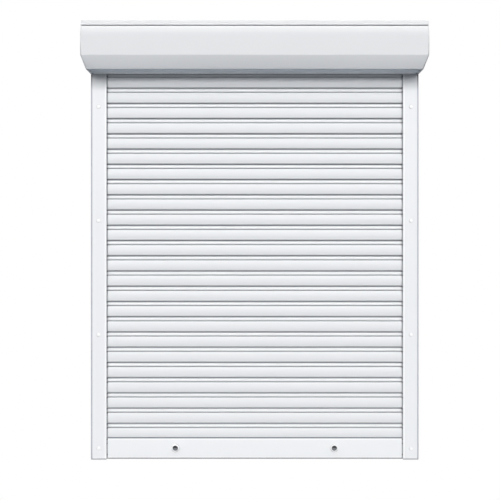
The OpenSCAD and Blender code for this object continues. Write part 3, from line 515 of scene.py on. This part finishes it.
# Motor: a steel barrel with baked grey enamel, held by its square lug. Its drive wheel turns the tube, which
# turns the limit ring. The enamel has a hammer finish with dimples 5 mm across, and the shafts are drawn
# steel with fine streaks along them.
enamel, tree, here = new_material("grey_stove_enamel")
hammer = add(tree, "TexVoronoi", {"Vector": here, "Scale": 1 / (5 * MM)}, "Distance")
tone = add(tree, "Mix", {SHARE: hammer, UNDER: linear("#8C9196"), OVER: linear("#A0A4A8")}, MIXED,
           data_type="RGBA")
dimpled = add(tree, "Bump", {"Height": hammer, "Strength": 0.15, "Distance": 0.4 * MM})
surface = add(tree, "BsdfPrincipled", {
    "Base Color": tone, "Roughness": 0.35, "Normal": dimpled, "Coat Weight": 0.3})
add(tree, "OutputMaterial", {"Surface": surface})
fit(joined_copy("tubular_motor", "motor_barrel"), enamel, "housing", "motor_steel", "tubular_motor")
coat(black_polyamide, shutter["limit_crown"], shutter["drive_wheel"], shutter["idler_capsule"])
drawn_steel = metal_finish("drawn_steel", "#A3A5A8", "#BDBFC1", (60, 1, 1), (0.22, 0.38))
coat(drawn_steel, shutter["motor_shaft"], shutter["idler_pin"])

# Roller tube: eight-sided, rolled from galvanised strip, so its flats show the zinc's spangle, 9 mm across.
# Spring steel straps, blued by tempering, hook the top slat to it; they wind on to the tube when it turns.
galvanised, tree, here = new_material("galvanised_strip")
spangle = add(tree, "TexVoronoi", {"Vector": here, "Scale": 1 / (9 * MM)}, "Color")
level = add(tree, "SeparateXYZ", {0: spangle}, "X")
tone = add(tree, "Mix", {SHARE: level, UNDER: linear("#A7ABAF"), OVER: linear("#C3C7CA")}, MIXED,
           data_type="RGBA")
gloss = add(tree, "MapRange", {"Value": level, "To Min": 0.28, "To Max": 0.46})
surface = add(tree, "BsdfPrincipled", {"Base Color": tone, "Roughness": gloss, "Metallic": 1.0})
add(tree, "OutputMaterial", {"Surface": surface})
coat(galvanised, shutter["roller_tube"])
blued_steel = metal_finish("blued_spring_steel", "#4A5058", "#5E666F", (40, 2, 2), (0.25, 0.4))
straps = joined_copy("hanger_straps", "strap_springs")
fit(straps, blued_steel, "roller", "dark_steel", "hanger_straps")
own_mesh(straps)

# Curtain: 24 hollow slats, each hooked into the pocket of the one above it. They are extruded aluminium,
# lacquered white; the hooks and grooves have painted shade, so each joint reads as a line, and the face and
# bead painted highlights. The top slats, which the box shades, are painted lighter.


def bow(start, end, bulge, steps):
    """Circular arc from start to end that stands out by bulge to the left of the way between them; its radius
    is (half the chord squared + bulge squared) / (2 * bulge)."""
    start, end = np.array(start, float), np.array(end, float)
    half = np.linalg.norm(end - start) / 2
    along = (end - start) / (2 * half)
    out = np.array([-along[1], along[0]])
    radius = (half ** 2 + bulge ** 2) / (2 * bulge)
    turn = np.linspace(-1, 1, steps + 1)[:, None] * np.arcsin(half / radius)
    return (start + end) / 2 + (radius * np.cos(turn) - radius + bulge) * out + radius * np.sin(turn) * along


SLATS, SLAT_HALF, SLAT_T = 24, extent("slat_01")[1, 0], 1.2
SLAT_BACK, POCKET_BACK, POCKET_FRONT, LIP_BACK = -7.0, -8.2, -12.8, -11.2
WEB_BACK, WEB_FRONT, HOOK_FRONT = -8.6, -9.8, -12.5
FACE_FOOT, FACE_HEAD, FACE_BULGE, SHOULDER_R = (-13.8, 1.4), (-13.6, 34.5), 2.3, 1.6
BEAD_FOOT, BEAD_HEAD, BEAD_BULGE = (-11.9, 37.7), (-10.9, 48.9), 1.9
LIP_H, POCKET_H, SHOULDER = 1.5, 9.0, FACE_HEAD[1] + SHOULDER_R
HOOK_T, HOOK_FOOT = 1.4, SLAT_PITCH + LIP_H
CHAMBER_FRONT, CHAMBER_BULGE = -13.1, 1.7
HOLLOW_BACK, HOLLOW_FOOT, HOLLOW_HEAD, HOLLOW_BULGE = -9.9, -11.6, -11.0, 0.9
foot = np.array([[LIP_BACK, 0], [HOOK_FRONT, 0], [-13.2, 0.4]])
shoulder = arc([FACE_HEAD[0] + SHOULDER_R, FACE_HEAD[1]], SHOULDER_R, 180, 90, 8)
face = np.concatenate([bow(FACE_FOOT, FACE_HEAD, FACE_BULGE, 40)[:-1], shoulder])
groove = np.array([
    [-11.6, SHOULDER], [WEB_FRONT, SHOULDER], [WEB_FRONT, BEAD_FOOT[1] - 0.1], [-11.5, BEAD_FOOT[1] - 0.05]])
bead = bow(BEAD_FOOT, BEAD_HEAD, BEAD_BULGE, 24)
hook = np.array([
    [-10.6, BEAD_HEAD[1]], [WEB_FRONT, BEAD_HEAD[1]], [WEB_FRONT, HOOK_FOOT], [HOOK_FRONT, HOOK_FOOT],
    [HOOK_FRONT, HOOK_FOOT + HOOK_T], [WEB_BACK, HOOK_FOOT + HOOK_T], [WEB_BACK, BEAD_FOOT[1]]])
pocket = np.array([
    [SLAT_BACK, SHOULDER], [SLAT_BACK, 0], [POCKET_BACK, 0], [POCKET_BACK, POCKET_H],
    [POCKET_FRONT, POCKET_H], [POCKET_FRONT, LIP_H], [LIP_BACK, LIP_H]])
slat_outline = np.concatenate([foot, face, groove, bead, hook, pocket])

# The face's chamber stands a wall above the pocket, and the bead's a wall inside the bead's ends.
floor_z, roof_z = POCKET_H + SLAT_T, FACE_HEAD[1] - SLAT_T / 2
slat_chamber = np.concatenate([
    bow([CHAMBER_FRONT, floor_z], [CHAMBER_FRONT, roof_z], CHAMBER_BULGE, 24),
    [[POCKET_BACK, roof_z], [POCKET_BACK, floor_z]]])
floor_z, roof_z = BEAD_FOOT[1] + SLAT_T, BEAD_HEAD[1] - SLAT_T
bead_chamber = np.concatenate([
    [[HOLLOW_BACK, floor_z]], bow([HOLLOW_FOOT, floor_z], [HOLLOW_HEAD, roof_z], HOLLOW_BULGE, 16),
    [[HOLLOW_BACK, roof_z]]])

# Film against the height above the slat's foot: rows of height and share; above 0 painted shade, below
# 0 painted highlight.
FACE_FILM = np.array([
    [1.4, 0.4], [2.6, 0.16], [4.4, 0], [29.0, 0], [32.6, -0.12], [34.5, 0.05], [36.1, 0.5]])
BEAD_FILM = np.array([
    [37.7, 0.5], [38.5, 0.12], [40.0, -0.15], [42.5, -0.5], [45.0, -0.4], [46.6, 0], [48.9, 0.5]])
HOOK_SHADE, GROOVE_SHADE, LIFT_FROM_SLAT, TOP_SHADE_CUT = 0.75, 0.85, 21, 0.65
slat_film = np.concatenate([
    np.full(len(foot), HOOK_SHADE), np.interp(face[:, 1], *FACE_FILM.T), np.full(len(groove), GROOVE_SHADE),
    np.interp(bead[:, 1], *BEAD_FILM.T), np.full(len(hook), HOOK_SHADE), np.zeros(len(pocket))])
slat_lacquer = white_finish("white_lacquered_slat", "#E4E5E7", "#E6E7E9", 0.4)
for number in range(1, SLATS + 1):
    at = [0, FIRST_SLAT + SLAT_PITCH * (number - 1)]
    section = [slat_outline[::-1] + at, slat_chamber + at, bead_chamber + at]
    slat = prism(f"slat_{number:02d}_extrusion", section, -SLAT_HALF, SLAT_HALF)
    # Under the box the painted shade is cut and the painted highlight raised, against the box's shade.
    shade_lift = np.interp(number, [LIFT_FROM_SLAT, SLATS], [1, TOP_SHADE_CUT])
    paint_light_on_ends(slat, np.where(slat_film > 0, slat_film * shade_lift, slat_film / shade_lift)[::-1])
    fit(slat, slat_lacquer, "curtain", "white_aluminium", f"slat_{number:02d}")
    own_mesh(slat)

# Slat clips: polyamide plates with a tongue, pressed into both ends of every second slat so that the slats
# can't wander sideways. They wind up with the slats.
clips = joined_copy("slat_end_clips", "slat_clips")
fit(clips, light_grey, "curtain", "grey_plastic", "slat_end_clips")
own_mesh(clips)

# Bottom bar: a heavier extrusion with three chambers, a groove for the rubber foot and a front lip that laps
# over the first slat. Powder coated as the rails are; painted shade on the lip's top and in the hook, and
# painted highlights at the foot and on the lip's bend.
(_, BAR_FRONT, BAR_FOOT), (_, BAR_BACK, _) = extent("bottom_bar") - [0, 0, SILL]
BAR_T, BAR_LEDGE, BAR_HOOK, FOOT_R, BACK_EASE = 1.2, 66.6, FIRST_SLAT - SILL + LIP_H, 1.5, 1.0
HIGHLIGHT_FOOT, HIGHLIGHT_HEAD, BEND_FOOT, BEND_HEAD, SHADE_FOOT, SHADE_HEAD = 6.5, 10.5, 62.8, 66.4, 69.0, 70.2
LAP_FRONT, LAP_T, LAP_HEAD = -15.4, 0.4, 73.4
SLOT_FRONT, SLOT_BACK, KEY_FRONT, KEY_BACK, KEY_FOOT, KEY_HEAD = -12.7, -10.3, -14.8, -8.2, 5.0, 13.4
LOW_WEB, HIGH_WEB = 31.0, 50.0
bar_front = np.concatenate([
    arc([BAR_FRONT + FOOT_R, BAR_FOOT + FOOT_R], FOOT_R, 270, 180, 8),
    [[BAR_FRONT, HIGHLIGHT_FOOT], [BAR_FRONT, HIGHLIGHT_HEAD], [BAR_FRONT, BEND_FOOT], [LAP_FRONT - 0.05, BEND_HEAD]],
    [[LAP_FRONT, SHADE_FOOT], [LAP_FRONT, SHADE_HEAD]],
    arc([LAP_FRONT + LAP_T / 2, LAP_HEAD], LAP_T / 2, 180, 0, 8)])
bar_joint = np.array([
    [LAP_FRONT + LAP_T, BAR_LEDGE], [WEB_FRONT, BAR_LEDGE], [WEB_FRONT, BAR_HOOK], [HOOK_FRONT, BAR_HOOK],
    [HOOK_FRONT, BAR_HOOK + HOOK_T], [WEB_BACK, BAR_HOOK + HOOK_T], [WEB_BACK, BAR_LEDGE]])
bar_rear = np.array([
    [BAR_BACK - BACK_EASE, BAR_LEDGE], [BAR_BACK, BAR_LEDGE - BACK_EASE], [BAR_BACK, BAR_FOOT],
    [SLOT_BACK, BAR_FOOT], [SLOT_BACK, KEY_FOOT], [KEY_BACK, KEY_FOOT], [KEY_BACK, KEY_HEAD],
    [KEY_FRONT, KEY_HEAD], [KEY_FRONT, KEY_FOOT], [SLOT_FRONT, KEY_FOOT], [SLOT_FRONT, BAR_FOOT]])
# Film up the front: painted highlight at the foot and on the lip's bend, painted shade on the lip's top.
film_z = [BAR_FOOT, HIGHLIGHT_FOOT, HIGHLIGHT_HEAD, BEND_FOOT, BEND_HEAD, SHADE_FOOT, SHADE_HEAD, SHADE_HEAD + 0.8]
bar_film = np.interp(bar_front[:, 1], film_z, [-0.4, -0.3, 0, 0, -0.7, -0.2, 0.85, 1])
near, far = BAR_FRONT + BAR_T, BAR_BACK - BAR_T
bar_chambers = [np.array([[near, low], [far, low], [far, high], [near, high]]) + [0, SILL] for low, high in (
    (KEY_HEAD + BAR_T, LOW_WEB), (LOW_WEB + BAR_T, HIGH_WEB), (HIGH_WEB + BAR_T, BAR_LEDGE - BAR_T))]
bar_outline = np.concatenate([bar_front, bar_joint, bar_rear])[::-1] + [0, SILL]
bar = prism("bottom_bar_extrusion", [bar_outline, *bar_chambers], -SLAT_HALF, SLAT_HALF)
paint_light_on_ends(bar, np.concatenate([bar_film, np.ones(len(bar_joint)), np.zeros(len(bar_rear))])[::-1])
bar_coat = white_finish("white_powder_coat_bar", "#EDEEF0", "#EFF0F2", 0.38)
fit(bar, bar_coat, "curtain", "white_aluminium", "bottom_bar")
coat(extruded_rubber("dark_rubber", "#4E5054", "#606266"), shutter["bottom_seal"])
coat(light_grey, shutter["bottom_bar_end_caps"])

# End stops: white polyamide buffers on the bar, each with a deep counterbore and at its bottom a broad screw,
# phosphated to a matt black. They meet the underside of the box when the curtain is up.
STOP_X, STOP_Z = 0.485 * RAIL_OUTER, SILL + 38.3
STOP_R, STOP_H, WALL_H, STOP_DRAFT, OUTER_ROLL, INNER_ROLL = 13.8, 9.0, 6.2, 0.4, 2.3, 1.5
BORE_R, BORE_FLOOR, HOLE_R = 9.2, 2.5, 2.1
stop = np.concatenate([
    [[HOLE_R, 0], [STOP_R, 0], [STOP_R - STOP_DRAFT, WALL_H]],
    arc([STOP_R - 1.5 * STOP_DRAFT - OUTER_ROLL, STOP_H - OUTER_ROLL], OUTER_ROLL, 4, 90, 12),
    arc([BORE_R + INNER_ROLL, STOP_H - INNER_ROLL], INNER_ROLL, 90, 180, 8),
    [[BORE_R, BORE_FLOOR], [HOLE_R, BORE_FLOOR], [HOLE_R, 0]]])
stops = [(sign * STOP_X, BAR_FRONT, STOP_Z) for sign in (-1, 1)]
buffers = turned("stop_buffers", stop, stops, (0, -1, 0))
fit(buffers, white_polyamide, "curtain", "white_plastic", "end_stops")

# Painted shade on each buffer's wall, on its upper side towards the bar, which tones down its lit top, and
# on the lower half of its rolled edge.
WALL_SHADE, ROLL_SHADE = 0.5, 0.3
across, depth, up = from_centre(buffers, stops)
away = np.hypot(across, up)
upper_wall_shade = np.interp(depth, [-WALL_H, 0], [0, WALL_SHADE]) * np.interp(up / away, [0, 0.5], [0, 1])
lower_roll_shade = np.interp(away, [BORE_R + 0.2, BORE_R + 1.2], [0, ROLL_SHADE])
filmed(buffers, upper_wall_shade + lower_roll_shade * np.interp(-up / away, [0.1, 0.7], [0, 1]))

# The screw's head is a cup with a rolled rim and a hexagon socket; its lower part is painted paler, as
# painted light, so that the top stays dark as painted shadow of the counterbore's rim.
SCREW_R, SCREW_L, CUP_R, CUP_H, CUP_ROLL = 2.0, 8.0, 8.9, 1.8, 0.4
SOCKET_R, SOCKET_RIM, SOCKET_FLOOR, DISH = 2.3, 0.6, 0.25, [[8.2, 2.1], [6.9, 0.8], [2.75, 0.7]]
cupped = np.concatenate([
    [[0, -SCREW_L], [SCREW_R, -SCREW_L], [SCREW_R, 0], [CUP_R, 0], [CUP_R, CUP_H]],
    arc([CUP_R - CUP_ROLL, CUP_H], CUP_ROLL, 0, 90, 4), DISH,
    [[SOCKET_R, SOCKET_RIM], [SOCKET_R, SOCKET_FLOOR], [0, SOCKET_FLOOR]]])
# A pale tone painted on the screw's lower part, as painted light.
phosphated = metal_finish("phosphated_steel", "#17181A", "#1F2022", (2, 2, 2), (0.55, 0.7), metallic=0.0,
                          pale_below=(STOP_Z - 1, STOP_Z + 2))
seats = [(x, BAR_FRONT - BORE_FLOOR, z) for x, _, z in stops]
screws = turned("stop_fixings", cupped, seats, (0, -1, 0), six=(-3, -2))
fit(screws, phosphated, "curtain", "dark_steel", "stop_screws")

# Studio, in metres: a white floor well below the sill, a soft surround that is brightest in front and a
# little above, and the camera square to the shutter. Two strips of light under the floor, wide apart so
# that the ends get as much as the middle, light the sloped sheet alone.
scene = bpy.context.scene
scene.view_settings.view_transform = "Standard"
camera = bpy.data.objects.new("camera", bpy.data.cameras.new("camera"))
camera.data.lens = 41.42
camera.data.shift_x, camera.data.shift_y = -0.0095, -0.022
camera.location = (0, -1.980, 0.132)
camera.rotation_euler = (np.pi / 2, 0, 0)
scene.collection.objects.link(camera)
scene.camera = camera

FLOOR_Z, FLOOR_HALF = -0.8, 6.0
spread = np.array([[-1, -1], [1, -1], [1, 1], [-1, 1]]) * FLOOR_HALF
floor_mesh = bpy.data.meshes.new("floor")
floor_mesh.from_pydata(np.column_stack([spread, np.full(4, FLOOR_Z)]).tolist(), [], [(0, 1, 2, 3)])
floor = bpy.data.objects.new("floor", floor_mesh)
scene.collection.objects.link(floor)
floor.visible_diffuse = floor.visible_glossy = floor.visible_shadow = False
white_floor, tree, here = new_material("white_floor")
clear = add(tree, "BsdfTransparent", {})
lit = add(tree, "Emission", {"Color": linear("#FFFFFF"), "Strength": 1.0})
below = add(tree, "NewGeometry", {}, "Backfacing")
one_sided = add(tree, "MixShader", {0: below, 1: lit, 2: clear})
add(tree, "OutputMaterial", {"Surface": one_sided})
coat(white_floor, floor)

# The surround's strength follows its direction by smooth steps: the axis, where the step starts and ends, and
# the level at each. A band ahead and one behind are cut to a range of height and stand on a dim sky.
world = bpy.data.worlds.new("soft_surround")
scene.world = world
world.use_nodes = True
tree = world.node_tree
tree.nodes.clear()
towards = add(tree, "SeparateXYZ", {0: add(tree, "TexCoord", {}, "Generated")}).node.outputs
step = {}
for name, axis, start, end, low, high in (
        ("sky", "Z", -0.05, 0.35, 0.28, 0.5), ("ahead", "Y", -0.55, -0.92, 0.0, 5.6),
        ("behind", "Y", 0.3, 0.85, 0.0, 2.6), ("rise", "Z", 0.06, 0.36, 0.0, 1.0),
        ("fall", "Z", 0.47, 0.73, 1.0, 0.0), ("whiten", "Z", -0.2, 0.2, 0.0, 1.0)):
    step[name] = add(tree, "MapRange", {
        "Value": towards[axis], "From Min": start, "From Max": end, "To Min": low, "To Max": high},
        interpolation_type="SMOOTHSTEP")
both = add(tree, "Math", {0: step["ahead"], 1: step["behind"]}, operation="ADD")
band = add(tree, "Math", {0: both, 1: step["rise"]}, operation="MULTIPLY")
light = add(tree, "Math", {0: band, 1: step["fall"], 2: step["sky"]}, operation="MULTIPLY_ADD")
tint = add(tree, "Mix", {SHARE: step["whiten"], UNDER: linear("#E4EBF2"), OVER: linear("#FFFFFF")}, MIXED,
           data_type="RGBA")
glow = add(tree, "Background", {"Color": tint, "Strength": light})
backdrop = add(tree, "Background", {"Color": linear("#FFFFFF"), "Strength": 1.0})
seen = add(tree, "LightPath", {}, "Is Camera Ray")
surround = add(tree, "MixShader", {0: seen, 1: glow, 2: backdrop})
add(tree, "OutputWorld", {"Surface": surround})

apron_only = bpy.data.collections.new("lit_from_floor")
apron_only.objects.link(bpy.data.objects["box_front_panel_sheet"])
for side, sign in (("left", -1), ("right", 1)):
    lamp = bpy.data.objects.new(f"floor_strip_{side}", bpy.data.lights.new(f"floor_strip_{side}", "AREA"))
    lamp.data.shape = "RECTANGLE"
    lamp.data.size, lamp.data.size_y = 1.0, 0.1
    lamp.data.energy = 22.5
    lamp.location = (1.5 * sign, -0.088, -1.1)
    lamp.rotation_euler = (np.pi, 0, 0)
    lamp.light_linking.receiver_collection = apron_only
    scene.collection.objects.link(lamp)
